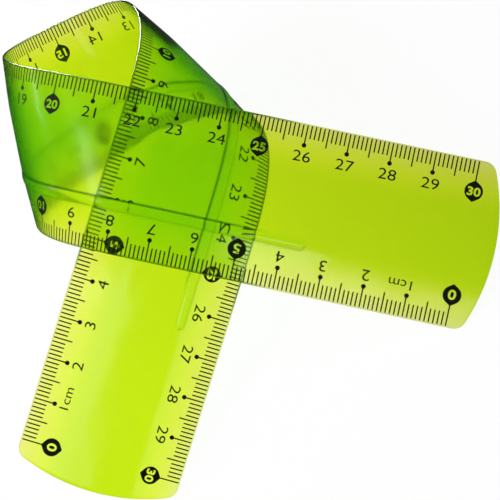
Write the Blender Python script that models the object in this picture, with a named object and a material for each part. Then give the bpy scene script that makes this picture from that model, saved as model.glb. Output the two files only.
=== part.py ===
"""Flexible 30 cm ruler, bent into a loop so that its two ends cross.

The strip is modelled flat, scored along the lines that it bends about, and
then rolled. Flat places are (along, across, height): along starts at the mark
that both ends share with the zero of the lower scale, across starts at the
upper scale's edge, and height starts at the plain back face. The upper scale
reads thirty at the start and zero at the far end, the lower scale the other
way round. All sizes are metres.
"""
import math

import bmesh
import bpy
import numpy as np
from mathutils import Matrix, Vector
from mathutils.geometry import intersect_point_tri

# Strip
SCALE_LENGTH = 0.300
CENTIMETRE = 0.010
STRIP_WIDTH = 0.039
CENTRE_THICKNESS = 0.0013
EDGE_THICKNESS = 0.0005
BEVEL_WIDTH = 0.01135

# Rounded ends
END_MARGIN = 0.0075
END_RADIUS = 0.0490
CORNER_RADIUS = 0.0030

# Grip rib moulded on the front
RIB_WIDTH = 0.0025
RIB_HEIGHT = 0.0005
RIB_TO_LOWER_EDGE = BEVEL_WIDTH
RIB_TO_ZERO = 0.035
RIB_ROOT = 0.0004
RIB_LEVEL_SHARES = (0.0, 0.6, 1.0)
RIB_WIDTH_SHARES = (1.0, 0.84, 0.44)

# Bends: where each starts and ends along the strip's middle, and its turn
LEFT_BEND_START = 0.0625
LEFT_BEND_END = 0.1645
LEFT_BEND_TURN = math.radians(144.0)
RIGHT_BEND_START = 0.131
RIGHT_BEND_END = 0.2145
RIGHT_BEND_TURN = math.radians(139.0)
CLOSING_BEND_START = 0.1875
CLOSING_BEND_END = 0.2435
CLOSING_TURN_RANGE = (math.radians(30.0), math.radians(110.0))
ARM_CLEARANCE = 0.0010
GAP_SAMPLE_STEP = 0.002

# Slant of the bending lines from square across the strip
LEFT_SLANT = math.radians(-24.5)
RIGHT_SLANT = math.radians(26.5)
SLANT_CHANGE_START = 0.108
SLANT_CHANGE_END = 0.195

# Printed badges, one at every fifth centimetre of each scale
BADGE_STEP = 5
BADGE_RADIUS = 0.00205
BADGE_REACH = 0.00245
BADGE_TO_RIB = 0.00025
BADGE_TO_EDGE = RIB_TO_LOWER_EDGE - 0.5 * RIB_WIDTH - BADGE_TO_RIB - BADGE_REACH
TICK_WIDTH = 0.00030
TICK_TO_EDGE = 0.00030
INK_THICKNESS = 0.00006
INK_GAP = 0.00002

# Fineness of the rounded outlines and of the rolled strip
FACET_TURN = math.radians(3.5)
ARC_SAGITTA = 0.00001
SHARP_ANGLE = math.radians(30.0)
FRAME_STEP = 0.0005
SEARCH_REPEATS = 24

# Downward direction, in the first arm's frame, near which the strip finds its stand
STANDS_ON = Vector((-0.46, 0.34, -0.82))

# Colour and roughness of each finish
MATERIALS = {
    "lime_plastic": ((0.56, 0.75, 0.03, 1.0), 0.25),
    "black_ink": ((0.012, 0.02, 0.008, 1.0), 0.45),
}


def clear_scene():
    for item in list(bpy.data.objects):
        bpy.data.objects.remove(item, do_unlink=True)


def material(name):
    """A Principled material of the named finish."""
    colour, roughness = MATERIALS[name]
    made = bpy.data.materials.new(name)
    made.use_nodes = True
    shader = made.node_tree.nodes["Principled BSDF"]
    shader.inputs["Base Color"].default_value = colour
    shader.inputs["Roughness"].default_value = roughness
    shader.inputs["Metallic"].default_value = 0.0
    made.diffuse_color = colour
    return made


# How the strip bends

def turn_rate(along, start, end, turn):
    """Curvature that rises and falls like one wave of a cosine, with this turn in all."""
    share = np.clip((along - start) / (end - start), 0.0, 1.0)
    return turn / (end - start) * (1.0 - np.cos(2.0 * math.pi * share))


def slant_at(along):
    """Slant of the bending line that crosses the middle of the strip here."""
    share = (along - SLANT_CHANGE_START) / (SLANT_CHANGE_END - SLANT_CHANGE_START)
    share = np.clip(share, 0.0, 1.0)
    return LEFT_SLANT + (RIGHT_SLANT - LEFT_SLANT) * share * share * (3.0 - 2.0 * share)


def turn_about(direction, angle):
    """Rotation matrix about a unit direction."""
    x, y, z = direction
    cross = np.array([[0.0, -z, y], [z, 0.0, -x], [-y, x, 0.0]])
    return np.eye(3) + math.sin(angle) * cross + (1.0 - math.cos(angle)) * cross @ cross


class RolledStrip:
    """Carries flat places of the strip to its bent shape, in the frame of its first arm."""

    def __init__(self, closing_turn):
        steps = int(math.ceil((SCALE_LENGTH + 2.0 * END_MARGIN) / FRAME_STEP))
        self.along = np.linspace(-END_MARGIN, SCALE_LENGTH + END_MARGIN, steps + 1)
        self.rate = (
            turn_rate(self.along, LEFT_BEND_START, LEFT_BEND_END, LEFT_BEND_TURN)
            + turn_rate(self.along, RIGHT_BEND_START, RIGHT_BEND_END, RIGHT_BEND_TURN)
            + turn_rate(self.along, CLOSING_BEND_START, CLOSING_BEND_END, closing_turn)
        )
        self.turns = [np.eye(3)]
        self.shifts = [np.zeros(3)]
        for before, after, rate in self.intervals():
            middle = 0.5 * (before + after)
            slant = slant_at(middle)
            line = np.array([math.sin(slant), math.cos(slant), 0.0])
            turn = turn_about(line, rate * (after - before))
            pivot = np.array([middle, 0.5 * STRIP_WIDTH, 0.0])
            self.shifts.append(self.shifts[-1] + self.turns[-1] @ (pivot - turn @ pivot))
            self.turns.append(self.turns[-1] @ turn)
        self.turns = np.array(self.turns)
        self.shifts = np.array(self.shifts)

    def intervals(self):
        """Each step along the strip, with the mean turn rate in it."""
        means = 0.5 * (self.rate[:-1] + self.rate[1:])
        return zip(self.along[:-1], self.along[1:], means)

    def line_through(self, along, across):
        """Where the bending line through each flat place crosses the middle of the strip."""
        middle = along.copy()
        for _ in range(SEARCH_REPEATS):
            wanted = along - np.tan(slant_at(middle)) * (across - 0.5 * STRIP_WIDTH)
            middle = 0.5 * (middle + wanted)
        return middle

    def place(self, flat):
        """Bent places of an array of flat ones."""
        flat = np.asarray(flat, dtype=float)
        middle = self.line_through(flat[:, 0], flat[:, 1])
        index = (middle - self.along[0]) / (self.along[1] - self.along[0])
        lower = np.clip(index.astype(int), 0, len(self.along) - 2)
        share = (index - lower)[:, None]
        sheet = flat - np.array([0.0, 0.0, 0.5 * CENTRE_THICKNESS])
        before = np.einsum("nij,nj->ni", self.turns[lower], sheet) + self.shifts[lower]
        after = np.einsum("nij,nj->ni", self.turns[lower + 1], sheet) + self.shifts[lower + 1]
        return before * (1.0 - share) + after * share

    def bending_lines(self):
        """Middle crossings of lines that share the whole turn into equal small turns."""
        step = self.along[1] - self.along[0]
        total = np.concatenate([[0.0], np.cumsum(0.5 * (self.rate[:-1] + self.rate[1:]) * step)])
        count = int(math.ceil(total[-1] / FACET_TURN))
        wanted = (np.arange(count) + 0.5) * total[-1] / count
        return np.interp(wanted, total, self.along)


def sheet_samples(strip, start, end, height):
    """Bent places of an even grid of flat ones, at one height, between two places along."""
    along, across = np.meshgrid(
        np.arange(start, end, GAP_SAMPLE_STEP), np.arange(0.0, STRIP_WIDTH, GAP_SAMPLE_STEP))
    return strip.place(np.column_stack([along.ravel(), across.ravel(), np.full(along.size, height)]))


def arm_gap(strip):
    """Least drop from the back of the first arm and left bend to the far arm's front and rib."""
    left_middle = 0.5 * (LEFT_BEND_START + LEFT_BEND_END)
    back = sheet_samples(strip, -END_MARGIN, left_middle, 0.0)
    front = sheet_samples(strip, -END_MARGIN, left_middle, CENTRE_THICKNESS)
    outward = (front - back) / CENTRE_THICKNESS
    far_arm = sheet_samples(
        strip, CLOSING_BEND_START, SCALE_LENGTH + END_MARGIN, CENTRE_THICKNESS + RIB_HEIGHT)
    offset = back[None, :, :] - far_arm[:, None, :]
    nearest = np.argmin(np.einsum("ijk,ijk->ij", offset, offset), axis=1)
    reach = offset[np.arange(len(far_arm)), nearest]
    drop = np.einsum("ik,ik->i", reach, outward[nearest])
    sideways = np.linalg.norm(reach - drop[:, None] * outward[nearest], axis=1)
    return drop[sideways < GAP_SAMPLE_STEP].min()


def rolled_strip():
    """Closes the last bend until the arms cross with their clearance."""
    low, high = CLOSING_TURN_RANGE
    for _ in range(SEARCH_REPEATS):
        turn = 0.5 * (low + high)
        if arm_gap(RolledStrip(turn)) < ARM_CLEARANCE:
            low = turn
        else:
            high = turn
    return RolledStrip(high)


# Flat outlines

def arc(centre, radius, start, end):
    """Points along an arc, both ends included, no chord further than the sagitta from it."""
    step = 2.0 * math.acos(1.0 - ARC_SAGITTA / radius)
    count = max(2, int(math.ceil(abs(end - start) / step)))
    angles = [start + (end - start) * k / count for k in range(count + 1)]
    return [(centre[0] + radius * math.cos(a), centre[1] + radius * math.sin(a)) for a in angles]


def end_outline():
    """Far end of the strip from the upper edge to the lower: corner, crown, corner."""
    crown_x = SCALE_LENGTH + END_MARGIN - END_RADIUS
    middle = 0.5 * STRIP_WIDTH
    offset = middle - CORNER_RADIUS
    corner_x = crown_x + math.sqrt((END_RADIUS - CORNER_RADIUS) ** 2 - offset ** 2)
    lean = math.atan2(offset, corner_x - crown_x)
    upper = arc((corner_x, CORNER_RADIUS), CORNER_RADIUS, -0.5 * math.pi, -lean)
    crown = arc((crown_x, middle), END_RADIUS, -lean, lean)
    lower = arc((corner_x, STRIP_WIDTH - CORNER_RADIUS), CORNER_RADIUS, lean, 0.5 * math.pi)
    return upper + crown[1:-1] + lower


def strip_outline():
    """Whole outline, running counter-clockwise seen from the front."""
    far = end_outline()
    near = [(SCALE_LENGTH - x, STRIP_WIDTH - y) for x, y in far]
    return far + near


def badge_outline(mark):
    """Tick from the edge with a disc drawn out to a point at both sides, about one mark."""
    half_tick = 0.5 * TICK_WIDTH
    tangent = math.acos(BADGE_RADIUS / BADGE_REACH)
    slope = math.tan(math.asin(BADGE_RADIUS / BADGE_REACH))
    join = BADGE_TO_EDGE - BADGE_REACH + half_tick / slope
    side = arc((0.0, BADGE_TO_EDGE), BADGE_RADIUS, tangent - 0.5 * math.pi, 0.5 * math.pi - tangent)
    right = [(half_tick, TICK_TO_EDGE), (half_tick, join)] + side
    point = [(0.0, BADGE_TO_EDGE + BADGE_REACH)]
    left = [(-x, y) for x, y in reversed(right)]
    return [(mark + x, y) for x, y in right + point + left]


# Flat solids

def prism(outline, bottom, top):
    """Closed solid over an outline, between two heights."""
    made = bmesh.new()
    base = made.faces.new([made.verts.new((x, y, bottom)) for x, y in outline])
    base.normal_flip()
    sweep = bmesh.ops.extrude_face_region(made, geom=[base])
    raised = [item for item in sweep["geom"] if isinstance(item, bmesh.types.BMVert)]
    bmesh.ops.translate(made, verts=raised, vec=(0.0, 0.0, top - bottom))
    made.faces.ensure_lookup_table()
    bmesh.ops.recalc_face_normals(made, faces=made.faces)
    return made


def plane_off(made, point, normal):
    """Cuts away what lies past a plane and closes the cut."""
    everything = made.verts[:] + made.edges[:] + made.faces[:]
    cut = bmesh.ops.bisect_plane(
        made, geom=everything, dist=0.0, plane_co=point, plane_no=normal, clear_outer=True)
    rim = [item for item in cut["geom_cut"] if isinstance(item, bmesh.types.BMEdge)]
    bmesh.ops.contextual_create(made, geom=rim)


def flat_plate():
    """Flat ruler with the front planed down towards both long edges."""
    made = prism(strip_outline(), 0.0, CENTRE_THICKNESS)
    drop = CENTRE_THICKNESS - EDGE_THICKNESS
    plane_off(made, (0.0, BEVEL_WIDTH, CENTRE_THICKNESS), (0.0, -drop, BEVEL_WIDTH))
    plane_off(made, (0.0, STRIP_WIDTH - BEVEL_WIDTH, CENTRE_THICKNESS), (0.0, drop, BEVEL_WIDTH))
    bmesh.ops.recalc_face_normals(made, faces=made.faces)
    return made


def rib_outline(share):
    """Long outline with round ends, narrowed to a share of the rib's width about its centre line."""
    centre = STRIP_WIDTH - RIB_TO_LOWER_EDGE
    start = RIB_TO_ZERO + 0.5 * RIB_WIDTH
    tip = arc((0.0, 0.0), 0.5 * RIB_WIDTH, -0.5 * math.pi, 0.5 * math.pi)
    far = [(SCALE_LENGTH - start + x * share, centre + y * share) for x, y in tip]
    near = [(start - x * share, centre - y * share) for x, y in tip]
    return far + near


def flat_rib():
    """Crowned rib, built as a stack of narrowing outlines on a root inside the plate."""
    made = bmesh.new()
    levels = [(CENTRE_THICKNESS - RIB_ROOT, 1.0)]
    for level, share in zip(RIB_LEVEL_SHARES, RIB_WIDTH_SHARES):
        levels.append((CENTRE_THICKNESS + RIB_HEIGHT * level, share))
    rings = []
    for height, share in levels:
        rings.append([made.verts.new((x, y, height)) for x, y in rib_outline(share)])
    for lower, upper in zip(rings[:-1], rings[1:]):
        for k in range(len(lower)):
            after = (k + 1) % len(lower)
            made.faces.new((lower[k], lower[after], upper[after], upper[k]))
    made.faces.new(list(reversed(rings[0])))
    made.faces.new(rings[-1])
    bmesh.ops.recalc_face_normals(made, faces=made.faces)
    return made


def flat_badge(mark, on_lower_scale):
    """Ink badge lying on the sloping front beside one edge."""
    made = prism(badge_outline(mark), 0.0, INK_THICKNESS)
    slope = (CENTRE_THICKNESS - EDGE_THICKNESS) / BEVEL_WIDTH
    for vertex in made.verts:
        vertex.co.z += EDGE_THICKNESS + slope * vertex.co.y + INK_GAP
    if on_lower_scale:
        for vertex in made.verts:
            vertex.co.y = STRIP_WIDTH - vertex.co.y
        bmesh.ops.reverse_faces(made, faces=made.faces)
    return made


# From flat solids to objects

def add_object(made, name):
    """Puts a finished bmesh in the scene under a name."""
    mesh = bpy.data.meshes.new(name)
    made.to_mesh(mesh)
    made.free()
    item = bpy.data.objects.new(name, mesh)
    bpy.context.scene.collection.objects.link(item)
    return item


def joined_flat(plate, rib):
    """The plate with the rib as one moulded solid."""
    whole = add_object(plate, "flat_strip")
    added = add_object(rib, "flat_rib")
    union = whole.modifiers.new("rib", "BOOLEAN")
    union.operation = "UNION"
    union.solver = "EXACT"
    union.object = added
    evaluated = whole.evaluated_get(bpy.context.evaluated_depsgraph_get())
    made = bmesh.new()
    made.from_mesh(evaluated.to_mesh())
    evaluated.to_mesh_clear()
    for item in (whole, added):
        bpy.data.objects.remove(item, do_unlink=True)
    return made


def score(made, strip):
    """Cuts every face along the bending lines, so that each piece between them stays flat."""
    for middle in strip.bending_lines():
        slant = float(slant_at(middle))
        everything = made.verts[:] + made.edges[:] + made.faces[:]
        bmesh.ops.bisect_plane(
            made,
            geom=everything,
            dist=0.0,
            plane_co=(middle, 0.5 * STRIP_WIDTH, 0.0),
            plane_no=(math.cos(slant), -math.sin(slant), 0.0),
        )


def roll(made, strip):
    """Scores a flat solid and bends it."""
    score(made, strip)
    places = strip.place([vertex.co[:] for vertex in made.verts])
    for vertex, place in zip(made.verts, places):
        vertex.co = Vector(place)


def standing(made):
    """Placement that stands the bent strip on two arm corners and its loop, first arm's front to -Y."""
    area = sum(face.calc_area() for face in made.faces)
    balance = sum((face.calc_center_median() * face.calc_area() for face in made.faces), Vector()) / area
    hull = bmesh.new()
    for vertex in made.verts:
        hull.verts.new(vertex.co)
    bmesh.ops.convex_hull(hull, input=hull.verts)
    bmesh.ops.triangulate(hull, faces=hull.faces)
    foot = None
    for face in hull.faces:
        corners = [vertex.co for vertex in face.verts]
        below = balance - face.normal * (balance - corners[0]).dot(face.normal)
        if intersect_point_tri(below, *corners) is None:
            continue
        if foot is None or face.normal.dot(STANDS_ON) > foot.normal.dot(STANDS_ON):
            foot = face
    up = -foot.normal
    edge = max(foot.edges, key=lambda item: item.calc_length())
    sideways = (edge.verts[1].co - edge.verts[0].co).normalized()
    if up.cross(sideways).z > 0.0:
        sideways = -sideways
    forward = up.cross(sideways)
    turn = Matrix((sideways, forward, up))
    hull.free()
    turned = [turn @ vertex.co for vertex in made.verts]
    low = [min(place[k] for place in turned) for k in range(3)]
    high = [max(place[k] for place in turned) for k in range(3)]
    shift = Vector((-0.5 * (low[0] + high[0]), -0.5 * (low[1] + high[1]), -low[2]))
    return Matrix.Translation(shift) @ turn.to_4x4()


def finish(item, paint):
    """Gives an object its material and smooth shading."""
    item.data.materials.append(paint)
    item.data.shade_smooth()
    item.data.set_sharp_from_angle(angle=SHARP_ANGLE)


def build():
    clear_scene()
    plastic = material("lime_plastic")
    ink = material("black_ink")
    strip = rolled_strip()
    made = joined_flat(flat_plate(), flat_rib())
    roll(made, strip)
    placement = standing(made)
    ruler = add_object(made, "ruler_strip")
    ruler.matrix_world = placement
    finish(ruler, plastic)
    last = round(SCALE_LENGTH / CENTIMETRE)
    for scale_name, on_lower_scale in (("upper", False), ("lower", True)):
        for label in range(0, last + 1, BADGE_STEP):
            mark = label if on_lower_scale else last - label
            badge = flat_badge(mark * CENTIMETRE, on_lower_scale)
            roll(badge, strip)
            item = add_object(badge, f"ink_badge_{scale_name}_{label:02d}")
            item.parent = ruler
            finish(item, ink)


build()
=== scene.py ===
"""Looks of the flexible ruler: see-through lime plastic with black print, curled as photographed."""
import math

import bmesh
import bpy
import numpy as np
from mathutils import Euler, Matrix, Vector

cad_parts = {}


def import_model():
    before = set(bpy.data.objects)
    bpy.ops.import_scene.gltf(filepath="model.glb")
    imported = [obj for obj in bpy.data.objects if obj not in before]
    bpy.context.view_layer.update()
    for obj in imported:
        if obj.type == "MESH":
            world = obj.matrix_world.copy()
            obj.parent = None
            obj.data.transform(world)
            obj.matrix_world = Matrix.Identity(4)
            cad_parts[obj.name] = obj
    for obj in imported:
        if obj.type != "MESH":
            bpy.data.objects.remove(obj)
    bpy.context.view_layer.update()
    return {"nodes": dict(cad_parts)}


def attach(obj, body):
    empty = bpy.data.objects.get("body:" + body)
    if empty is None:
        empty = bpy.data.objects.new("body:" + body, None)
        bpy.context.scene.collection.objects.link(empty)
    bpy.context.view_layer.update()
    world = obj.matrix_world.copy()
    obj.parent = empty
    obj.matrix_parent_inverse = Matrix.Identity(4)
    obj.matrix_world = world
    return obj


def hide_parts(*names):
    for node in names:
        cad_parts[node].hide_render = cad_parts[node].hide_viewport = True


MM = 0.001
CENTIMETRE = 10 * MM

# The strip, as the CAD part has it, with a lower and rounder rib
SCALE_LENGTH = 300 * MM
STRIP_WIDTH = 39 * MM
CENTRE_THICKNESS = 1.3 * MM
EDGE_THICKNESS = 0.5 * MM
BEVEL_WIDTH = 11.35 * MM
KNEE_SHARE = 0.1
END_MARGIN = 7.5 * MM
END_RADIUS = 49.0 * MM
CORNER_RADIUS = 3.0 * MM
RIB_WIDTH = 2.5 * MM
RIB_HEIGHT = 0.22 * MM
RIB_MIDDLE = STRIP_WIDTH - BEVEL_WIDTH
RIB_START = 36.25 * MM
RIB_END = SCALE_LENGTH - RIB_START
EDGE_ROUNDING = 0.2 * MM
OUTLINE_INSET = 0.03 * MM

# Its bends: start, end and turn of each, the slant that the bending lines have along the strip,
# and how finely a place is carried by them
BENDS = (
    (62.5 * MM, 164.5 * MM, math.radians(144.0)),
    (131.0 * MM, 214.5 * MM, math.radians(139.0)),
    (187.5 * MM, 243.5 * MM, math.radians(64.16528702)),
)
LEFT_SLANT = math.radians(-24.5)
RIGHT_SLANT = math.radians(26.5)
SLANT_CHANGE = (108.0 * MM, 195.0 * MM)
FRAME_STEP = 0.5 * MM
PLACE_REPEATS = 24

# Fineness of its surface, across and along, and how far from an end its rows follow the end's arc
ROUNDING_STEPS = 6
NEAR_EDGE_PLACES = tuple(place * MM for place in (0.45, 0.8, 1.2, 1.7, 2.3, 3.0))
RIB_STEPS = 19
RIB_STEPS_SPAN = 1.02 * RIB_WIDTH
MIDDLE_STEPS = 25
BEVEL_STEPS = 9
ALONG_STEP = 0.9 * MM
TIP_REACH = 2.0 * MM
TIP_STEP = 0.2 * MM
LEAST_STEP = 0.1 * MM
END_BLEND = 20.0 * MM

# Badges of the CAD part that tell where the flat near arm lies, and how high they stand on it
START_BADGES = ("ink_badge_upper_30", "ink_badge_lower_00")
NEXT_BADGE = "ink_badge_lower_05"
CAD_INK_HEIGHT = 0.05 * MM

# Print
LAST_LABEL = 30
BADGE_STEP = 5
INK_LIFT = 0.025 * MM
INK_PATCH = 0.9 * MM
PATCH_REPEATS = 6
MERGE_DISTANCE = 0.001 * MM
TICK_WIDTH = 0.31 * MM
TICK_START = 0.3 * MM
TICK_RUNGS = 5
SHORT_TICK = 3.4 * MM
HALF_TICK = 4.8 * MM
DOT_TO_EDGE = 5.1 * MM
DOT_RADIUS = 0.55 * MM
DOT_SIDES = 14
BADGE_RADIUS = 2.12 * MM
BADGE_REACH = 2.54 * MM
BADGE_TO_EDGE = 7.4 * MM
BADGE_SIDES = 20
DIGIT_SHARE = 0.729
DIGIT_STEPS = 3
NUMERAL_TO_EDGE = 7.6 * MM
NUMERAL_HEIGHT = 2.65 * MM
NUMERAL_WIDENING = 1.2
UNIT_SHARE = 0.84
UNIT_START = -0.65 * MM
UNIT_LIFT = 0.25 * MM
BADGE_NUMERAL_HEIGHTS = (2.25 * MM, 2.0 * MM)
BADGE_NUMERAL_WIDTHS = (1.8 * MM, 2.9 * MM)
BADGE_NUMERAL_WIDENING = 1.25
BADGE_NUMERAL_WEIGHT = 0.1 * MM

# Places on the strip for its material: units of the map for a metre
MAP_SCALE = 10.0

# Sockets of a Map Range node for the ends of its result, in its form for vectors
RESULT_START_SOCKET = 9
RESULT_END_SOCKET = 10

# Haze of the bent part: where it begins along the strip, and where it ends
HAZE_START = (74 * MM, 90 * MM)
HAZE_END = (120 * MM, 140 * MM)
HAZE = 0.12

# Fine lines on the plastic, two of them painted shade (along the rib's feet, and a painted contact
# shadow along the long edges) and one a tint fading in from the edges: their width, how sharply each
# falls off, and the shade's strength on the lower and on the upper scale's side of the rib, or of a rim
# where the strip lies single and doubled
LINE_WIDTH = 0.34 * MM
FOOT_SHADE_SHARPNESS = 0.7
RIM_SHADE_SHARPNESS = 0.5
MARGIN_SHARPNESS = 0.05
FOOT_SHADE_SINGLE = (0.3, 0.02)
FOOT_SHADE_DOUBLED = (0.25, 1.0)
RIM_SHADE_STRENGTHS = (0.06, 1.0)

# Distances from the end marks between which an arm comes to lie over or under the other one,
# and the painted shade along the rib's feet and the rims deepens
FOOT_SHADE_DOUBLING = (42 * MM, 56 * MM)
RIM_SHADE_DOUBLING = (40 * MM, 46 * MM)

# The floor: half its side, the pool of light that shows through the plastic, with where it becomes
# level, its limits and its fall, and the strengths that the plastic mirrors near and far
FLOOR_HALF = 3.0
POOL_EDGE = (90 * MM, 200 * MM)
POOL_LIMITS = (0.8, 2.2)
POOL_FALL = (-3.9, 5.7, 0.0)
POOL_CENTRE = 1.84
MIRRORED_EDGE = (50 * MM, 120 * MM)
MIRRORED_STRENGTHS = (0.1, 0.02)

# Lamps: place, sizes and power of each, and whether the plastic mirrors it
LAMP_AIM = (0.0, 0.0, 0.02)
LAMPS = {
    "low_side": ((-0.12, 0.55, 0.36), (0.4, 0.4), 5.5, False),
    "overhead": ((0.0, 0.0, 0.8), (0.9, 0.9), 3.0, False),
    "streak": ((0.2, 0.5, 0.5), (0.5, 0.04), 0.4, True),
}

# White cards far over the near arm, seen in the plastic's mirror: sides along and sides across,
# in degrees from the arm's front, and brightness
CARD_DISTANCE = 5.0
CARDS = {
    "card_over_scale": ((-3.2, 4.0), (5.1, 6.4), 3.0),
    "card_over_end": ((-11.0, -3.2), (5.1, 6.4), 1.8),
    "card_over_scale_start": ((0.3, 4.0), (3.4, 5.1), 3.0),
    "card_over_far_scale": ((-11.5, 4.0), (6.4, 17.0), 1.8),
    "card_over_rib": ((-30.0, -21.0), (4.0, 20.0), 1.0),
    "card_streak": ((-53.0, -50.0), (-16.0, 4.0), 4.0),
    "card_low": ((-2.0, 9.0), (-56.0, -42.0), 3.0),
    "card_high": ((-2.0, 9.0), (44.0, 56.0), 3.0),
    "card_left": ((-66.0, -60.0), (4.0, 22.0), 3.0),
    "card_right": ((30.0, 38.0), (0.0, 14.0), 3.0),
}

# Round white card beside the ruler, mirrored by the rounded cut edge of the loop
EDGE_CARD_WAY = (0.68, -0.71, -0.12)
EDGE_CARD_DISTANCE = 1.2
EDGE_CARD_SIZE = 1.0
EDGE_CARD_BRIGHTNESS = 34.0

# Camera, fitted to the photograph's marks, in the near arm's frame
CAMERA_PLACE = (31.95 * MM, 49.03 * MM, 309.24 * MM)
CAMERA_TURN = tuple(math.radians(angle) for angle in (3.82, 2.025, -167.706))
LENS = 97.41
SENSOR_WIDTH = 36.0
CLIP_START = 0.01


# How the strip bends

def turn_rate(along, start, end, turn):
    """One wave of a raised cosine between start and end, whose area is the turn."""
    share = np.clip((along - start) / (end - start), 0.0, 1.0)
    return turn / (end - start) * (1.0 - np.cos(2.0 * math.pi * share))


def slant_at(along):
    """Left slant, then an ease in and out to the right slant."""
    start, end = SLANT_CHANGE
    share = np.clip((along - start) / (end - start), 0.0, 1.0)
    return LEFT_SLANT + (RIGHT_SLANT - LEFT_SLANT) * share * share * (3.0 - 2.0 * share)


def turn_about(direction, angle):
    """Rotation matrix about a direction.

    It is the identity, plus the sine times the cross matrix, plus one less the
    cosine times the cross matrix squared.
    """
    x, y, z = direction
    cross = np.array([[0.0, -z, y], [z, 0.0, -x], [-y, x, 0.0]])
    return np.eye(3) + math.sin(angle) * cross + (1.0 - math.cos(angle)) * cross @ cross


class Roll:
    """Carries flat places (along, across, height) to the curled ruler in the row frame."""

    def __init__(self, arm_turn, arm_place):
        steps = int(math.ceil((SCALE_LENGTH + 2.0 * END_MARGIN) / FRAME_STEP))
        self.along = np.linspace(-END_MARGIN, SCALE_LENGTH + END_MARGIN, steps + 1)
        rate = sum(turn_rate(self.along, *bend) for bend in BENDS)
        turns = [np.eye(3)]
        shifts = [np.zeros(3)]
        middles = 0.5 * (self.along[:-1] + self.along[1:])
        small_turns = 0.5 * (rate[:-1] + rate[1:]) * np.diff(self.along)
        for middle, angle in zip(middles, small_turns):
            slant = slant_at(middle)
            turn = turn_about((math.sin(slant), math.cos(slant), 0.0), angle)
            pivot = np.array([middle, 0.5 * STRIP_WIDTH, 0.0])
            shifts.append(shifts[-1] + turns[-1] @ (pivot - turn @ pivot))
            turns.append(turns[-1] @ turn)
        self.turns = arm_turn @ np.array(turns)
        middle_height = 0.5 * CENTRE_THICKNESS * arm_turn[:, 2]
        self.shifts = np.array(shifts) @ arm_turn.T + arm_place + middle_height

    def place(self, flat):
        """Each place turns with the bending line through it, blended between the two nearest frames."""
        flat = np.asarray(flat, dtype=float)
        middle = flat[:, 0].copy()
        for _ in range(PLACE_REPEATS):
            wanted = flat[:, 0] - np.tan(slant_at(middle)) * (flat[:, 1] - 0.5 * STRIP_WIDTH)
            middle = 0.5 * (middle + wanted)
        index = (middle - self.along[0]) / (self.along[1] - self.along[0])
        index = np.clip(index, 0.0, len(self.along) - 1.001)
        lower = index.astype(int)
        share = (index - lower)[:, None]
        sheet = flat - np.array([0.0, 0.0, 0.5 * CENTRE_THICKNESS])
        before = np.einsum("nij,nj->ni", self.turns[lower], sheet) + self.shifts[lower]
        after = np.einsum("nij,nj->ni", self.turns[lower + 1], sheet) + self.shifts[lower + 1]
        return before * (1.0 - share) + after * share


def middle_of(node):
    """Mean of a CAD node's corners, each counted once."""
    places = np.array([node.matrix_world @ vertex.co for vertex in node.data.vertices])
    return np.unique(np.round(places, 7), axis=0).mean(axis=0)


def arm_frame(nodes):
    """Turn and place of the flat near arm, from three of the CAD part's badges on it.

    Across runs from the upper badge to the lower one at the same mark, along
    from there to the next lower badge, and the front is their cross product.
    """
    upper, lower = (middle_of(nodes[name]) for name in START_BADGES)
    across = (lower - upper) / np.linalg.norm(lower - upper)
    along = middle_of(nodes[NEXT_BADGE]) - lower
    along = along - across * along.dot(across)
    along /= np.linalg.norm(along)
    front = np.cross(along, across)
    inset = 0.5 * (STRIP_WIDTH - np.linalg.norm(lower - upper))
    slope = (CENTRE_THICKNESS - EDGE_THICKNESS) / BEVEL_WIDTH
    height = EDGE_THICKNESS + slope * inset + CAD_INK_HEIGHT
    return np.column_stack([along, across, front]), upper - inset * across - height * front


# The strip's own shape, flat

def end_reach(across):
    """How far the end lies past the last mark: a shallow arc, with a small arc at each corner."""
    middle = 0.5 * STRIP_WIDTH
    crown_x = END_MARGIN - END_RADIUS
    offset = middle - CORNER_RADIUS
    corner_x = crown_x + math.sqrt((END_RADIUS - CORNER_RADIUS) ** 2 - offset ** 2)
    tangent = CORNER_RADIUS * (1.0 - offset / (END_RADIUS - CORNER_RADIUS))
    from_edge = np.minimum(across, STRIP_WIDTH - across)
    crown = crown_x + np.sqrt(END_RADIUS ** 2 - (across - middle) ** 2)
    inside = np.clip(CORNER_RADIUS ** 2 - (CORNER_RADIUS - from_edge) ** 2, 0.0, None)
    return np.where(from_edge < tangent, corner_x + np.sqrt(inside), crown)


def rib_rise(along, across):
    """Height of the rib over the plate: one less the square of the offset from the rib's middle."""
    past_end = np.maximum(np.maximum(RIB_START - along, along - RIB_END), 0.0)
    away = np.hypot(past_end, across - RIB_MIDDLE) / (0.5 * RIB_WIDTH)
    return RIB_HEIGHT * np.clip(1.0 - away ** 2, 0.0, None)


def plate_height(across):
    """Thickness of the plate: straight bevels to both long edges, with a soft knee at the flat middle.

    The share of the rise is the smaller of one and the way over the bevel,
    taken as their mean less half the root of their difference and the knee squared.
    """
    way = np.minimum(across, STRIP_WIDTH - across) / BEVEL_WIDTH
    share = 0.5 * (1.0 + way - np.sqrt((1.0 - way) ** 2 + KNEE_SHARE ** 2))
    return EDGE_THICKNESS + (CENTRE_THICKNESS - EDGE_THICKNESS) * share


def make_mesh(name, places, faces):
    """Mesh object at the origin from arrays of places and of faces."""
    mesh = bpy.data.meshes.new(name)
    mesh.from_pydata(places.tolist(), [], faces.tolist())
    mesh.validate()
    mesh.shade_smooth()
    item = bpy.data.objects.new(name, mesh)
    bpy.context.scene.collection.objects.link(item)
    return item


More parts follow.
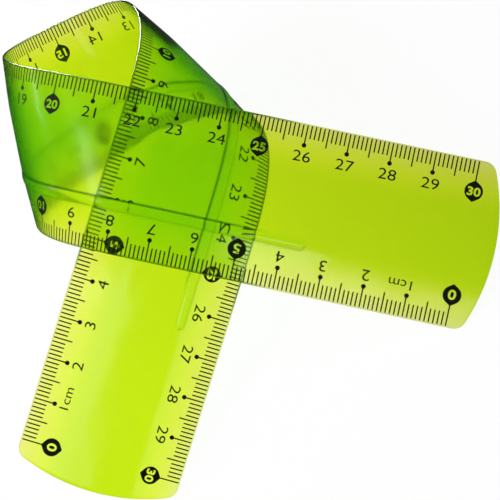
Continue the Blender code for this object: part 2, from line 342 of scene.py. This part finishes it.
def across_samples():
    """Places across the strip: close together at the rounded edges and at the rib's sides."""
    quarter = np.linspace(0.0, 0.5 * math.pi, ROUNDING_STEPS)
    near = np.concatenate([EDGE_ROUNDING * (1.0 - np.cos(quarter)), NEAR_EDGE_PLACES])
    half_turn = np.linspace(0.0, math.pi, RIB_STEPS)
    rib = RIB_MIDDLE - 0.5 * RIB_STEPS_SPAN * np.cos(half_turn)
    left = np.linspace(near[-1], rib[0], MIDDLE_STEPS)[1:-1]
    right = np.linspace(rib[-1], STRIP_WIDTH - near[-1], BEVEL_STEPS)[1:-1]
    return np.concatenate([near, left, rib, right, STRIP_WIDTH - near[::-1]])


def along_samples():
    """Places along the strip: even, with finer steps at the rib's round ends."""
    last = SCALE_LENGTH + END_MARGIN
    even = np.arange(-END_MARGIN, last, ALONG_STEP)
    tips = [np.arange(tip - TIP_REACH, tip + TIP_REACH, TIP_STEP) for tip in (RIB_START, RIB_END)]
    places = np.unique(np.round(np.concatenate([even, [last]] + tips), 6))
    return places[np.concatenate([[True], np.diff(places) > LEAST_STEP])]


def rounded_rows():
    """Rows along the strip, close together at both ends, and how far each has risen at the rounding."""
    quarter = np.linspace(0.0, 0.5 * math.pi, ROUNDING_STEPS)
    inset = EDGE_ROUNDING * (1.0 - np.cos(quarter))
    margin = END_MARGIN - OUTLINE_INSET
    stations = along_samples()
    first = EDGE_ROUNDING - margin
    inner = stations[(stations > first) & (stations < SCALE_LENGTH - first)]
    rows = np.concatenate([inset - margin, inner, SCALE_LENGTH + margin - inset[::-1]])
    risen = np.concatenate([np.sin(quarter), np.ones(len(inner)), np.sin(quarter[::-1])])
    return rows, risen


def strip_places():
    """Flat places of the closed strip: rows along, each over the front and back under it.

    At the long edges and at both ends the two faces draw together by the rounding's
    radius times one less the product of two sines, which makes each edge a quarter circle.
    """
    across = across_samples()
    rows, risen = rounded_rows()
    from_edge = np.minimum(across, STRIP_WIDTH - across)
    inwards = np.clip(from_edge / EDGE_ROUNDING, 0.0, 1.0)
    side = np.sqrt(np.clip(1.0 - (1.0 - inwards) ** 2, 0.0, 1.0))
    near = np.clip((rows + END_MARGIN) / END_BLEND, 0.0, 1.0)
    far = np.clip((SCALE_LENGTH + END_MARGIN - rows) / END_BLEND, 0.0, 1.0)
    pull = END_MARGIN - end_reach(across)
    along = rows[:, None] + pull[None, :] * ((1.0 - near) ** 2 - (1.0 - far) ** 2)[:, None]
    wide = np.broadcast_to(across[None, :], along.shape)
    drop = EDGE_ROUNDING * (1.0 - risen[:, None] * side[None, :])
    front = plate_height(wide) + rib_rise(along, wide) - drop
    over = np.stack([along, wide, front], axis=2)
    under = np.stack([along, wide, drop], axis=2)
    return np.concatenate([over, under[:, ::-1]], axis=1)


def strip_faces(count, around):
    """Faces between neighbouring rows all round, and between front and back at both ends."""
    row, column = np.meshgrid(np.arange(count - 1), np.arange(around), indexing="ij")
    here = row * around
    after = (column + 1) % around
    walls = [here + column, here + around + column, here + around + after, here + after]
    first = np.arange(around // 2 - 1)
    mirror = around - 1 - first
    near_end = np.stack([first, first + 1, mirror - 1, mirror], axis=1)
    far_end = near_end[:, ::-1] + (count - 1) * around
    return np.concatenate([np.stack(walls, axis=2).reshape(-1, 4), near_end, far_end])


def strip_solid(roll):
    """Closed strip, curled, with the map of its flat places."""
    grid = strip_places()
    flat = grid.reshape(-1, 3)
    item = make_mesh("ruler_body", roll.place(flat), strip_faces(*grid.shape[:2]))
    add_strip_map(item.data, flat)
    return item


def add_strip_map(mesh, flat):
    """UV map in tenths of a metre: along the strip, and across it."""
    loops = np.zeros(len(mesh.loops), dtype=np.int32)
    mesh.loops.foreach_get("vertex_index", loops)
    layer = mesh.uv_layers.new(name="strip")
    layer.data.foreach_set("uv", (flat[loops, :2] * MAP_SCALE).astype(np.float32).ravel())


# Print. A flat mark is drawn at zero along, and its across is its distance from its scale's edge.

def inked(roll, name, marks, faces, lower):
    """Sheet of ink from flat marks, on that scale: it lies on the front surface, a hair above it."""
    along, across = marks.T
    if lower:
        across = STRIP_WIDTH - across
    else:
        faces = faces[:, ::-1]
    rise = plate_height(across) + rib_rise(along, across) + INK_LIFT
    return make_mesh(name, roll.place(np.column_stack([along, across, rise])), faces)


def scale_name(lower):
    return "lower" if lower else "upper"


def tick_bar(length):
    """Thin bar from the edge inwards, as a ladder of short rungs, so that it can bend."""
    rungs = np.linspace(TICK_START, length, TICK_RUNGS)
    half_width = np.full(TICK_RUNGS, 0.5 * TICK_WIDTH)
    left = np.column_stack([-half_width, rungs])
    right = np.column_stack([half_width, rungs])
    step = np.arange(TICK_RUNGS - 1)
    beside = step + TICK_RUNGS
    return np.concatenate([left, right]), np.column_stack([step, step + 1, beside + 1, beside])


def disc(radius, centre):
    """Fan of triangles about a centre."""
    angles = np.linspace(0.0, 2.0 * math.pi, DOT_SIDES + 1)[:-1]
    rim = np.column_stack([radius * np.cos(angles), centre + radius * np.sin(angles)])
    step = np.arange(DOT_SIDES)
    faces = np.column_stack([np.full(DOT_SIDES, DOT_SIDES), step, (step + 1) % DOT_SIDES])
    return np.concatenate([rim, [[0.0, centre]]]), faces[:, ::-1]


def stamped(shape, marks):
    """One shape repeated at many marks."""
    places, faces = shape
    shift = np.column_stack([marks, np.zeros(len(marks))])
    all_places = (places[None, :, :] + shift[:, None, :]).reshape(-1, 2)
    first = np.arange(len(marks)) * len(places)
    all_faces = faces[None, :, :] + first[:, None, None]
    return all_places, all_faces.reshape(-1, faces.shape[1])


def print_ticks(roll, lower):
    """Every millimetre's line, longer at half and whole centimetres, and a dot at each whole one."""
    counts = np.arange(0, 10 * LAST_LABEL + 1)
    whole = counts[(counts % 10 == 0) & (counts % (10 * BADGE_STEP) != 0)]
    shapes = (
        ("short_ticks", counts[counts % 5 != 0], tick_bar(SHORT_TICK)),
        ("half_ticks", counts[counts % 10 == 5], tick_bar(HALF_TICK)),
        ("long_ticks", whole, tick_bar(DOT_TO_EDGE)),
        ("dots", whole, disc(DOT_RADIUS, DOT_TO_EDGE)),
    )
    made = []
    for name, found, shape in shapes:
        places, faces = stamped(shape, found * MM)
        made.append(inked(roll, f"{name}_{scale_name(lower)}", places, faces, lower))
    return made


def letters(body, height, weight=0.0):
    """Curve object of a short text, centred across, with its digits' middle at zero."""
    data = bpy.data.curves.new("letters", "FONT")
    data.body = body
    data.size = height / DIGIT_SHARE
    data.align_x = "CENTER"
    data.offset = weight
    data.resolution_u = DIGIT_STEPS
    data.offset_y = -0.5 * height
    item = bpy.data.objects.new("letters", data)
    bpy.context.scene.collection.objects.link(item)
    return item


def upward_triangles(mesh):
    """Flat places of a mesh of triangles, and its triangles, all wound to face upwards."""
    places = np.zeros(3 * len(mesh.vertices), dtype=np.float32)
    mesh.vertices.foreach_get("co", places)
    places = places.reshape(-1, 3)[:, :2].astype(float)
    faces = np.zeros(3 * len(mesh.polygons), dtype=np.int32)
    mesh.polygons.foreach_get("vertices", faces)
    faces = faces.reshape(-1, 3)
    one_way = places[faces[:, 1]] - places[faces[:, 0]]
    other_way = places[faces[:, 2]] - places[faces[:, 0]]
    facing_down = one_way[:, 0] * other_way[:, 1] < one_way[:, 1] * other_way[:, 0]
    return places, np.where(facing_down[:, None], faces[:, ::-1], faces)


def filled(item):
    """Triangles of a filled flat curve, cut until no edge is longer than the ink's patch."""
    graph = bpy.context.evaluated_depsgraph_get()
    mesh = bpy.data.meshes.new_from_object(item.evaluated_get(graph))
    bpy.data.objects.remove(item, do_unlink=True)
    made = bmesh.new()
    made.from_mesh(mesh)
    bmesh.ops.remove_doubles(made, verts=made.verts, dist=MERGE_DISTANCE)
    bmesh.ops.triangulate(made, faces=made.faces)
    for _ in range(PATCH_REPEATS):
        long_edges = [edge for edge in made.edges if edge.calc_length() > INK_PATCH]
        if not long_edges:
            break
        bmesh.ops.subdivide_edges(made, edges=long_edges, cuts=1)
        bmesh.ops.triangulate(made, faces=made.faces)
    made.to_mesh(mesh)
    made.free()
    triangles = upward_triangles(mesh)
    bpy.data.meshes.remove(mesh)
    return triangles


def at_label(places, label, to_edge, lower):
    """Text places moved to the label's mark, with their tops towards the scale's edge."""
    along = places[:, 0] if lower else -places[:, 0]
    mark = label if lower else LAST_LABEL - label
    return np.column_stack([along + mark * CENTIMETRE, to_edge - places[:, 1]])


def print_numerals(roll, lower):
    """Small numerals between the badges, one sheet for each scale. The first one has its unit."""
    all_places = []
    all_faces = []
    count = 0
    for label in range(1, LAST_LABEL):
        if label % BADGE_STEP == 0:
            continue
        places, faces = filled(letters("1cm" if label == 1 else str(label), NUMERAL_HEIGHT))
        places = places * np.array([NUMERAL_WIDENING, 1.0])
        if label == 1:
            places = places * UNIT_SHARE
            places = places + np.array([UNIT_START - places[:, 0].min(), UNIT_LIFT])
        all_places.append(at_label(places, label, NUMERAL_TO_EDGE, lower))
        all_faces.append(faces + count)
        count += len(places)
    name = f"numerals_{scale_name(lower)}"
    return inked(roll, name, np.concatenate(all_places), np.concatenate(all_faces), lower)


def badge_outline(grown):
    """Closed line of a badge, grown a little.

    A tick runs from the edge to a circle that is drawn out to a point at both sides.
    """
    half_tick = 0.5 * TICK_WIDTH + grown
    radius = BADGE_RADIUS + grown
    reach = BADGE_REACH + grown * BADGE_REACH / BADGE_RADIUS
    tangent = math.acos(BADGE_RADIUS / BADGE_REACH)
    slope = math.tan(math.asin(BADGE_RADIUS / BADGE_REACH))
    join = BADGE_TO_EDGE - reach + half_tick / slope
    angles = np.linspace(tangent - 0.5 * math.pi, 0.5 * math.pi - tangent, BADGE_SIDES)
    side = np.column_stack([radius * np.cos(angles), BADGE_TO_EDGE + radius * np.sin(angles)])
    start = TICK_START - grown
    stem = np.array([[half_tick, start], [half_tick, 0.5 * (start + join)], [half_tick, join]])
    right = np.concatenate([stem, side])
    left = right[::-1] * np.array([-1.0, 1.0])
    return np.concatenate([right, [[0.0, BADGE_TO_EDGE + reach]], left])


def numeral_curve(label):
    """Bold badge numeral as a flat curve, widened up to the room that the badge leaves it."""
    count = len(str(label))
    item = letters(str(label), BADGE_NUMERAL_HEIGHTS[count - 1], -BADGE_NUMERAL_WEIGHT)
    for other in bpy.context.selected_objects:
        other.select_set(False)
    bpy.context.view_layer.objects.active = item
    item.select_set(True)
    bpy.ops.object.convert(target="CURVE")
    item = bpy.context.view_layer.objects.active
    item.select_set(False)
    curve = item.data
    sides = [point.co.x for spline in curve.splines for point in spline.bezier_points]
    room = BADGE_NUMERAL_WIDTHS[count - 1] / (max(sides) - min(sides))
    curve.transform(Matrix.Diagonal((min(BADGE_NUMERAL_WIDENING, room), 1.0, 1.0, 1.0)))
    curve.dimensions = "2D"
    curve.fill_mode = "BOTH"
    return item


def print_badge(roll, label, lower):
    """Badge with its numeral left open: the outline and the digits fill as one flat curve.

    The curve's offset draws all ink in, which opens the numeral wider, so the
    outline is grown by as much.
    """
    item = numeral_curve(label)
    outline = badge_outline(BADGE_NUMERAL_WEIGHT)
    line = item.data.splines.new("POLY")
    line.points.add(len(outline) - 1)
    flat = np.zeros((len(outline), 4), dtype=np.float32)
    flat[:, 0] = outline[:, 0]
    flat[:, 1] = BADGE_TO_EDGE - outline[:, 1]
    flat[:, 3] = 1.0
    line.points.foreach_set("co", flat.ravel())
    line.use_cyclic_u = True
    places, faces = filled(item)
    marks = at_label(places, label, BADGE_TO_EDGE, lower)
    return inked(roll, f"badge_{scale_name(lower)}_{label:02d}", marks, faces, lower)


# Shader parts

def new_material(name):
    made = bpy.data.materials.new(name)
    made.use_nodes = True
    made.node_tree.nodes.clear()
    return made, made.node_tree.nodes, made.node_tree.links


def new_group(name, inputs, outputs):
    """Empty node group: inputs and outputs are kinds of socket by name."""
    group = bpy.data.node_groups.new(name, "ShaderNodeTree")
    for side, sockets in (("INPUT", inputs), ("OUTPUT", outputs)):
        for socket, kind in sockets.items():
            group.interface.new_socket(socket, in_out=side, socket_type=f"NodeSocket{kind}")
    return group, group.nodes, group.links


def computed(nodes, links, operation, *values):
    """Result of a Math node, whose values are sockets or plain numbers."""
    node = nodes.new("ShaderNodeMath")
    node.operation = operation
    for slot, value in enumerate(values):
        if isinstance(value, bpy.types.NodeSocket):
            links.new(value, node.inputs[slot])
        else:
            node.inputs[slot].default_value = value
    return node.outputs["Value"]


def remapped(nodes, links, value, start, end, smooth=False):
    """Value carried on from a pair of limits to another pair, each given as (limit, result)."""
    node = nodes.new("ShaderNodeMapRange")
    if smooth:
        node.interpolation_type = "SMOOTHSTEP"
    for corner, pair in (("Min", start), ("Max", end)):
        node.inputs[f"From {corner}"].default_value = pair[0]
        node.inputs[f"To {corner}"].default_value = pair[1]
    links.new(value, node.inputs["Value"])
    return node.outputs["Result"]


def noise(nodes, links, place, scale, detail):
    node = nodes.new("ShaderNodeTexNoise")
    node.inputs["Scale"].default_value = scale
    node.inputs["Detail"].default_value = detail
    links.new(place, node.inputs["Vector"])
    return node


def length_of(nodes, links, place):
    node = nodes.new("ShaderNodeVectorMath")
    node.operation = "LENGTH"
    links.new(place, node.inputs[0])
    return node.outputs["Value"]


def fine_lines():
    """Node group: masks of thin lines on the strip, from a place in tenths of a metre.

    Two of them are painted shade. One runs along both feet of the rib: it is strong on the upper
    scale's side where the strip lies doubled, and faint on the lower scale's side elsewhere.
    The other runs along both long edges as a painted contact shadow, deep where the strip lies
    doubled, and Margin fades from the edges to the numerals.
    """
    group, nodes, links = new_group(
        "fine_lines",
        {"Along": "Float", "Across": "Float", "Line Width": "Float"},
        {"Foot Shade": "Float", "Margin": "Float", "Rim Shade": "Float"},
    )
    given = nodes.new("NodeGroupInput")

    def combine(operation, *values):
        return computed(nodes, links, operation, *values)

    def line(miss, sharpness):
        widths = combine("DIVIDE", combine("MULTIPLY", miss, sharpness), given.outputs["Line Width"])
        return combine("MAXIMUM", combine("SUBTRACT", 1.0, widths), 0.0)

    def between(limits, share):
        return combine("MULTIPLY_ADD", share, limits[1] - limits[0], limits[0])

    def doubling(reach):
        start, full = (0.5 * SCALE_LENGTH - distance for distance in reach)
        return remapped(nodes, links, from_middle, (start, 0.0), (full, 1.0), smooth=True)

    along = combine("MULTIPLY", given.outputs["Along"], 1.0 / MAP_SCALE)
    aside = combine("MULTIPLY_ADD", given.outputs["Across"], 1.0 / MAP_SCALE, -RIB_MIDDLE)
    from_middle = combine("ABSOLUTE", combine("SUBTRACT", along, 0.5 * SCALE_LENGTH))
    past_end = combine("SUBTRACT", from_middle, 0.5 * (RIB_END - RIB_START))
    past_end = combine("MAXIMUM", past_end, 0.0)
    squares = combine("ADD", combine("POWER", past_end, 2.0), combine("MULTIPLY", aside, aside))
    from_foot = combine("SUBTRACT", combine("SQRT", squares), 0.5 * RIB_WIDTH)
    # Painted shade along both feet of the rib, whose strength depends on the side and on where the strip
    # lies doubled
    foot_shade = line(combine("ABSOLUTE", from_foot), FOOT_SHADE_SHARPNESS)
    upper_side = combine("LESS_THAN", aside, 0.0)
    single = between(FOOT_SHADE_SINGLE, upper_side)
    added = combine("SUBTRACT", between(FOOT_SHADE_DOUBLED, upper_side), single)
    side = combine("MULTIPLY_ADD", added, doubling(FOOT_SHADE_DOUBLING), single)
    # Painted contact shadow along both long edges, faint where the strip lies single and deep where it
    # lies doubled
    from_centre = combine("ABSOLUTE", combine("ADD", aside, RIB_MIDDLE - 0.5 * STRIP_WIDTH))
    from_edge = combine("SUBTRACT", 0.5 * STRIP_WIDTH, from_centre)
    edge = between(RIM_SHADE_STRENGTHS, doubling(RIM_SHADE_DOUBLING))
    rim = combine("MULTIPLY", line(from_edge, RIM_SHADE_SHARPNESS), edge)
    out = nodes.new("NodeGroupOutput")
    links.new(combine("MULTIPLY", foot_shade, side), out.inputs["Foot Shade"])
    links.new(line(from_edge, MARGIN_SHARPNESS), out.inputs["Margin"])
    links.new(rim, out.inputs["Rim Shade"])
    return group


def light_pool():
    """Node group: how bright the floor is at a place, falling off evenly under the ruler.

    Value is the product of the place and the fall, plus the centre's value, and
    the fall fades out past the ruler.
    """
    group, nodes, links = new_group(
        "light_pool",
        {"Fall": "Vector", "Centre": "Float"},
        {"Value": "Float"},
    )
    given = nodes.new("NodeGroupInput")
    place = nodes.new("ShaderNodeTexCoord").outputs["Object"]
    slope = nodes.new("ShaderNodeVectorMath")
    slope.operation = "DOT_PRODUCT"
    links.new(place, slope.inputs[0])
    links.new(given.outputs["Fall"], slope.inputs[1])
    level_from, level_at = POOL_EDGE
    near = remapped(nodes, links, length_of(nodes, links, place), (level_from, 1.0), (level_at, 0.0))
    level = computed(nodes, links, "MULTIPLY_ADD", slope.outputs["Value"], near, given.outputs["Centre"])
    held = nodes.new("ShaderNodeClamp")
    held.inputs["Min"].default_value, held.inputs["Max"].default_value = POOL_LIMITS
    links.new(level, held.inputs["Value"])
    out = nodes.new("NodeGroupOutput")
    links.new(held.outputs["Result"], out.inputs["Value"])
    return group


# Materials

def moulded_ripple(nodes, links, place):
    """Normal of a faint ripple, as the mould leaves it."""
    bump = nodes.new("ShaderNodeBump")
    bump.inputs["Strength"].default_value = 0.25
    bump.inputs["Distance"].default_value = 0.0004
    links.new(noise(nodes, links, place, 55.0, 2.0).outputs["Fac"], bump.inputs["Height"])
    return bump.outputs["Normal"]


def plastic_roughness(nodes, links, place, along):
    """Lightly rubbed surface, hazy where the strip is bent."""
    rubbed = noise(nodes, links, place, 900.0, 4.0).outputs["Fac"]
    rough = remapped(nodes, links, rubbed, (0.35, 0.06), (0.7, 0.09))
    start, full = (distance * MAP_SCALE for distance in HAZE_START)
    fading, end = (distance * MAP_SCALE for distance in HAZE_END)
    stressed = remapped(nodes, links, along, (start, 0.0), (full, HAZE), smooth=True)
    unrelaxed = remapped(nodes, links, along, (fading, 1.0), (end, 0.0), smooth=True)
    return computed(nodes, links, "MULTIPLY_ADD", stressed, unrelaxed, rough)


def plastic_colour(nodes, links, along, across):
    """White, darkened by painted shade along the rib's feet and a painted contact shadow along the
    long edges, tinted near the edges, and deep green where the surface is seen at a slant.
    """
    lines = nodes.new("ShaderNodeGroup")
    lines.node_tree = fine_lines()
    lines.inputs["Line Width"].default_value = LINE_WIDTH
    links.new(along, lines.inputs["Along"])
    links.new(across, lines.inputs["Across"])
    facing = nodes.new("ShaderNodeLayerWeight")
    facing.inputs["Blend"].default_value = 0.5
    steep = remapped(nodes, links, facing.outputs["Facing"], (0.35, 0.0), (0.85, 1.0), smooth=True)
    colour = None
    for share, tint in (
        # Painted shade along the rib's feet
        (lines.outputs["Foot Shade"], (0.06, 0.25, 0.02, 1.0)),
        (lines.outputs["Margin"], (0.86, 0.9, 1.0, 1.0)),
        # Painted contact shadow along the long edges
        (lines.outputs["Rim Shade"], (0.08, 0.25, 0.05, 1.0)),
        (steep, (0.25, 0.55, 0.25, 1.0)),
    ):
        mix = nodes.new("ShaderNodeMix")
        mix.data_type = "RGBA"
        mix.inputs["A"].default_value = (1.0, 1.0, 1.0, 1.0)
        mix.inputs["B"].default_value = tint
        links.new(share, mix.inputs["Factor"])
        if colour:
            links.new(colour, mix.inputs["A"])
        colour = mix.outputs["Result"]
    return colour


def lime_plastic():
    """Clear plastic that takes up blue and red by its thickness, with painted shade along the rib's
    feet and the long edges.
    """
    made, nodes, links = new_material("lime_plastic")
    out = nodes.new("ShaderNodeOutputMaterial")
    glass = nodes.new("ShaderNodeBsdfPrincipled")
    glass.inputs["Transmission Weight"].default_value = 1.0
    glass.inputs["IOR"].default_value = 1.46
    place = nodes.new("ShaderNodeTexCoord").outputs["Object"]
    strip_map = nodes.new("ShaderNodeUVMap")
    strip_map.uv_map = "strip"
    strip_place = nodes.new("ShaderNodeSeparateXYZ")
    links.new(strip_map.outputs["UV"], strip_place.inputs["Vector"])
    along = strip_place.outputs["X"]
    across = strip_place.outputs["Y"]
    links.new(moulded_ripple(nodes, links, place), glass.inputs["Normal"])
    links.new(plastic_roughness(nodes, links, place, along), glass.inputs["Roughness"])
    links.new(plastic_colour(nodes, links, along, across), glass.inputs["Base Color"])
    clear = nodes.new("ShaderNodeBsdfTransparent")
    path = nodes.new("ShaderNodeLightPath")
    mix = nodes.new("ShaderNodeMixShader")
    links.new(path.outputs["Is Shadow Ray"], mix.inputs["Fac"])
    links.new(glass.outputs["BSDF"], mix.inputs[1])
    links.new(clear.outputs["BSDF"], mix.inputs[2])
    links.new(mix.outputs["Shader"], out.inputs["Surface"])
    inside = nodes.new("ShaderNodeVolumeAbsorption")
    inside.inputs["Color"].default_value = (0.8756, 0.966, 0.05, 1.0)
    inside.inputs["Density"].default_value = 4700.0
    links.new(inside.outputs["Volume"], out.inputs["Volume"])
    return made


def black_ink():
    """Flat screen-printed ink: near black, slightly uneven in depth and shine."""
    made, nodes, links = new_material("black_ink")
    out = nodes.new("ShaderNodeOutputMaterial")
    ink = nodes.new("ShaderNodeBsdfPrincipled")
    ink.inputs["Specular IOR Level"].default_value = 0.15
    place = nodes.new("ShaderNodeTexCoord").outputs["Object"]
    grain = noise(nodes, links, place, 1500.0, 3.0)
    shade = nodes.new("ShaderNodeMapRange")
    shade.data_type = "FLOAT_VECTOR"
    shade.inputs[RESULT_START_SOCKET].default_value = (0.002, 0.005, 0.002)
    shade.inputs[RESULT_END_SOCKET].default_value = (0.006, 0.011, 0.004)
    links.new(grain.outputs["Color"], shade.inputs["Vector"])
    links.new(shade.outputs["Vector"], ink.inputs["Base Color"])
    rough = remapped(nodes, links, grain.outputs["Fac"], (0.0, 0.4), (1.0, 0.6))
    links.new(rough, ink.inputs["Roughness"])
    links.new(ink.outputs["BSDF"], out.inputs["Surface"])
    return made


def pool_light(nodes, links):
    """Glow of the floor's pool of light, as the plastic lets it through."""
    pool = nodes.new("ShaderNodeGroup")
    pool.node_tree = light_pool()
    pool.inputs["Fall"].default_value = POOL_FALL
    pool.inputs["Centre"].default_value = POOL_CENTRE
    glow = nodes.new("ShaderNodeEmission")
    glow.inputs["Color"].default_value = (0.615, 0.475, 1.0, 1.0)
    links.new(pool.outputs["Value"], glow.inputs["Strength"])
    return glow.outputs["Emission"]


def mirrored_light(nodes, links):
    """Faint glow of the floor in the plastic's mirror, fading outwards."""
    place = nodes.new("ShaderNodeTexCoord").outputs["Object"]
    start, end = zip(MIRRORED_EDGE, MIRRORED_STRENGTHS)
    glow = nodes.new("ShaderNodeEmission")
    strength = remapped(nodes, links, length_of(nodes, links, place), start, end)
    links.new(strength, glow.inputs["Strength"])
    return glow.outputs["Emission"]


def white_floor():
    """Pale floor: white to the camera, a pool of light through the plastic, dark when mirrored."""
    made, nodes, links = new_material("white_floor")
    out = nodes.new("ShaderNodeOutputMaterial")
    plain = nodes.new("ShaderNodeBsdfDiffuse")
    plain.inputs["Color"].default_value = (0.86, 0.86, 0.86, 1.0)
    white = nodes.new("ShaderNodeEmission")
    rays = nodes.new("ShaderNodeLightPath").outputs
    through = rays["Is Transmission Ray"]
    mirrored = computed(nodes, links, "SUBTRACT", rays["Is Glossy Ray"], through)
    surface = plain.outputs["BSDF"]
    for share, light in (
        (computed(nodes, links, "MULTIPLY", through, 0.85), pool_light(nodes, links)),
        (computed(nodes, links, "MAXIMUM", mirrored, 0.0), mirrored_light(nodes, links)),
        (computed(nodes, links, "MULTIPLY", rays["Is Camera Ray"], 0.94), white.outputs["Emission"]),
    ):
        mix = nodes.new("ShaderNodeMixShader")
        links.new(share, mix.inputs["Fac"])
        links.new(surface, mix.inputs[1])
        links.new(light, mix.inputs[2])
        surface = mix.outputs["Shader"]
    links.new(surface, out.inputs["Surface"])
    return made


# Stage

def add_floor():
    square = np.array([[-1.0, -1.0, 0.0], [1.0, -1.0, 0.0], [1.0, 1.0, 0.0], [-1.0, 1.0, 0.0]])
    floor = make_mesh("floor", square * FLOOR_HALF, np.array([[0, 1, 2, 3]]))
    floor.data.materials.append(white_floor())


def add_area(name, sizes, power, place, turn):
    """Rectangular lamp at a place."""
    lamp = bpy.data.lights.new(name, "AREA")
    lamp.shape = "RECTANGLE"
    lamp.size, lamp.size_y = sizes
    lamp.energy = power
    item = bpy.data.objects.new(name, lamp)
    item.location = place
    item.rotation_euler = turn
    bpy.context.scene.collection.objects.link(item)
    return item


def aimed(way):
    """Turn of a lamp that shines along a way."""
    return way.to_track_quat("-Z", "Y").to_euler()


def only_in_mirrors(item):
    item.visible_camera = False
    item.visible_diffuse = False
    item.visible_transmission = False


def add_lamp(name, place, sizes, power, mirrored):
    """Lamp aimed at the ruler. Only a mirrored one shows as a streak in the plastic."""
    item = add_area(name, sizes, power, place, aimed(Vector(LAMP_AIM) - Vector(place)))
    item.visible_glossy = mirrored
    item.visible_transmission = mirrored


def add_card(name, arm_turn, arm_place, bearings, rises, brightness):
    """White card, whose sides are angles from the arm's front towards along and across."""
    left, right = (CARD_DISTANCE * math.tan(math.radians(angle)) for angle in bearings)
    low, high = (CARD_DISTANCE * math.tan(math.radians(angle)) for angle in rises)
    width = right - left
    height = high - low
    turn = Matrix(arm_turn.tolist())
    centre = turn @ Vector((0.5 * (left + right), 0.5 * (low + high), CARD_DISTANCE))
    power = brightness * math.pi * width * height
    item = add_area(name, (width, height), power, centre + Vector(arm_place), turn.to_euler())
    only_in_mirrors(item)


def add_edge_card(arm_turn, arm_place):
    """Round white card past the upper scale, which makes the loop's cut edge a thin white line."""
    way = (Matrix(arm_turn.tolist()) @ Vector(EDGE_CARD_WAY)).normalized()
    place = Vector(arm_place) + way * EDGE_CARD_DISTANCE
    power = EDGE_CARD_BRIGHTNESS * math.pi * math.pi * (0.5 * EDGE_CARD_SIZE) ** 2
    item = add_area("card_edge", (EDGE_CARD_SIZE, EDGE_CARD_SIZE), power, place, aimed(-way))
    item.data.shape = "DISK"
    only_in_mirrors(item)


def add_world():
    """White surroundings: full to the camera, less through the plastic, and faint otherwise."""
    world = bpy.data.worlds.new("studio")
    bpy.context.scene.world = world
    world.use_nodes = True
    nodes = world.node_tree.nodes
    links = world.node_tree.links
    sky = nodes["Background"]
    sky.inputs["Color"].default_value = (1.0, 1.0, 1.0, 1.0)
    rays = nodes.new("ShaderNodeLightPath").outputs
    through = remapped(nodes, links, rays["Is Transmission Ray"], (0.0, 0.04), (1.0, 0.8))
    strength = computed(nodes, links, "MAXIMUM", rays["Is Camera Ray"], through)
    links.new(strength, sky.inputs["Strength"])


def add_camera(arm_turn, arm_place):
    """Camera placed from the near arm, which it looks almost straight down on."""
    data = bpy.data.cameras.new("camera")
    data.lens = LENS
    data.sensor_width = SENSOR_WIDTH
    data.clip_start = CLIP_START
    item = bpy.data.objects.new("camera", data)
    turn = Matrix(arm_turn.tolist())
    item.location = turn @ Vector(CAMERA_PLACE) + Vector(arm_place)
    item.rotation_euler = (turn @ Euler(CAMERA_TURN, "XYZ").to_matrix()).to_euler()
    bpy.context.scene.collection.objects.link(item)
    bpy.context.scene.camera = item


def add_prints(roll):
    """All the ink of both scales. Each badge takes the place of the CAD part's one."""
    prints = []
    for lower in (False, True):
        prints += print_ticks(roll, lower)
        prints.append(print_numerals(roll, lower))
        for label in range(0, LAST_LABEL + 1, BADGE_STEP):
            badge = print_badge(roll, label, lower)
            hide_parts(f"ink_badge_{scale_name(lower)}_{label:02d}")
            prints.append(badge)
    return prints


def dress():
    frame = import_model()
    arm_turn, arm_place = arm_frame(frame["nodes"])
    roll = Roll(arm_turn, arm_place)
    plastic = lime_plastic()
    ink = black_ink()
    body = strip_solid(roll)
    body.data.materials.append(plastic)
    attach(body, "root")
    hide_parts("ruler_strip")
    for item in add_prints(roll):
        item.data.materials.append(ink)
        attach(item, "root")
    add_floor()
    for name, values in LAMPS.items():
        add_lamp(name, *values)
    for name, values in CARDS.items():
        add_card(name, arm_turn, arm_place, *values)
    add_edge_card(arm_turn, arm_place)
    add_world()
    add_camera(arm_turn, arm_place)
    bpy.context.scene.view_settings.view_transform = "Standard"


dress()
